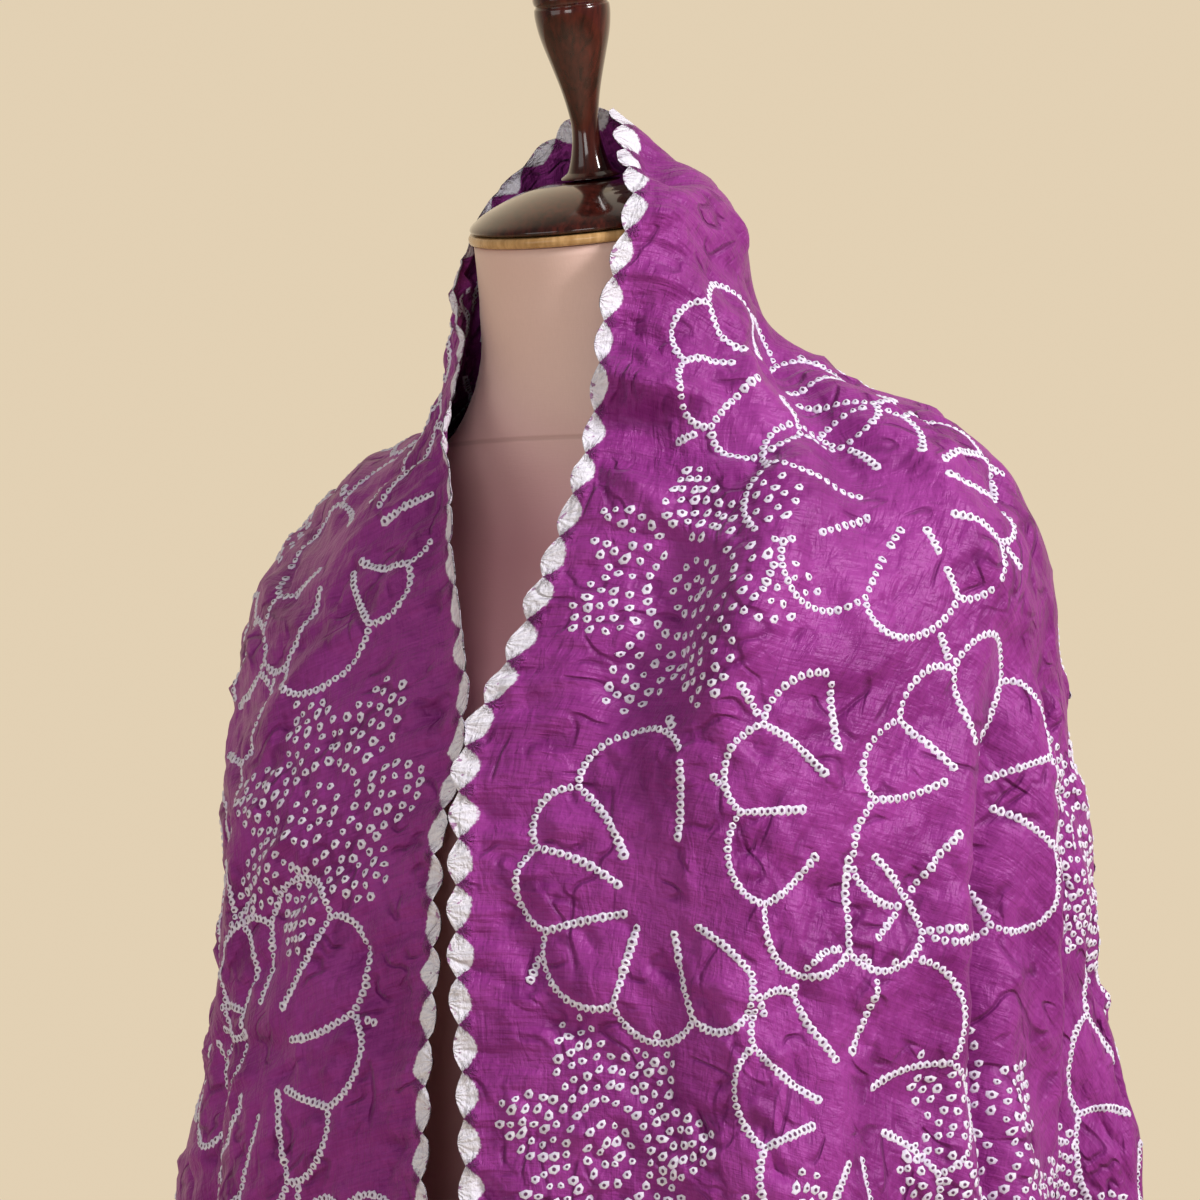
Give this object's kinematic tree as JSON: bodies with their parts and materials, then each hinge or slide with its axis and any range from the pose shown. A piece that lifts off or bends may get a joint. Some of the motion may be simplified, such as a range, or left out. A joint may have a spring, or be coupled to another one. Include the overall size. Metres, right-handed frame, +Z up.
{
  "type": "bandhani dupatta stole on a limbless dress form",
  "caption": "Silk stole with tie-dyed flower and dot rings and a scalloped edge, draped over the shoulders of a limbless dress form on a turned wooden stand.",
  "frame": {"origin": "centre of the round base's underside, on the floor", "axes": "+Z up along the pole, -Y the way the form faces, +X towards the form's own left shoulder"},
  "size_m": [0.6743, 0.3746, 1.5774],
  "materials": {
    "silk": "thin crinkled silk with a soft sheen, purple with off-white tie-dyed rings and edge",
    "form_cover": "smooth stretched cover, matt",
    "light_wood": "satin varnish",
    "dark_wood": "glossy lacquer over dark red-brown stain"
  },
  "bodies": {
    "root": {"stole_middle": "silk", "stole_left_end": "silk", "stole_right_end": "silk", "dress_form_torso": "form_cover", "neck_cap_rim": "light_wood", "neck_cap": "dark_wood", "finial": "dark_wood", "stand_socket": "dark_wood", "stand_pole": "dark_wood", "stand_base": "dark_wood"}
  },
  "joints": []
}
